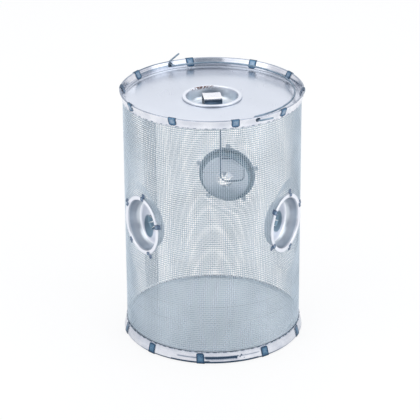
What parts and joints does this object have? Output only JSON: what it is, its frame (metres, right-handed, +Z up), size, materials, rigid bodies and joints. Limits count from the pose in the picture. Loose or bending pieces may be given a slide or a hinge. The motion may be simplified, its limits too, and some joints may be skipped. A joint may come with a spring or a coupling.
{
  "type": "swarm trap",
  "caption": "Upright round cage of woven wire with folded rims, one-way funnels in its wall, a lift-out hatch with a bait hook and a bail handle.",
  "frame": {"origin": "bottom centre: on the cage's axis, at the level that the base stands on", "axes": "+Z up along the cage's axis, -Y to the front, between the left and right funnels, +X to the right"},
  "size_m": [0.2087, 0.2083, 0.3003],
  "materials": {
    "woven_wire": "plain weave of bright wire, satin",
    "rim_steel": "folded bright sheet, reflective",
    "disc_steel": "flat bright sheet, semi-gloss",
    "pressed_steel": "pressed bright sheet, semi-gloss",
    "tinted_steel": "heat-tinted sheet, blue-grey",
    "wire_steel": "bright drawn wire",
    "eyelet_steel": "darkened sheet"
  },
  "bodies": {
    "cage": {"wall_mesh": "woven_wire", "top_rim": "rim_steel", "bottom_rim": "rim_steel", "top_disc": "disc_steel", "floor_disc": "disc_steel", "top_rim_clips": "tinted_steel", "bottom_rim_clips": "tinted_steel", "funnel_left": "pressed_steel", "funnel_left_clips": "tinted_steel", "funnel_right": "pressed_steel", "funnel_right_clips": "tinted_steel", "funnel_rear": "pressed_steel", "funnel_rear_clips": "tinted_steel", "bail_eyelets": "eyelet_steel"},
    "bail": {"bail_handle": "wire_steel"},
    "hatch": {"hatch_dish": "pressed_steel", "hatch_strap": "rim_steel"},
    "hook": {"bait_hook": "wire_steel"}
  },
  "joints": [
    {"name": "bail_swing", "type": "hinge", "parent": "cage", "child": "bail", "pos_m": [0, 0, 0.29094], "axis": [0.4818, -0.8763, 0], "range_deg": [0, 180]},
    {"name": "hatch_lift", "type": "slide", "parent": "cage", "child": "hatch", "axis": [0, 0, 1], "range_m": [0, 0.07]},
    {"name": "hook_swivel", "type": "hinge", "parent": "hatch", "child": "hook", "pos_m": [0.0092, 0, 0.27], "axis": [0, 0, 1], "continuous": true}
  ]
}
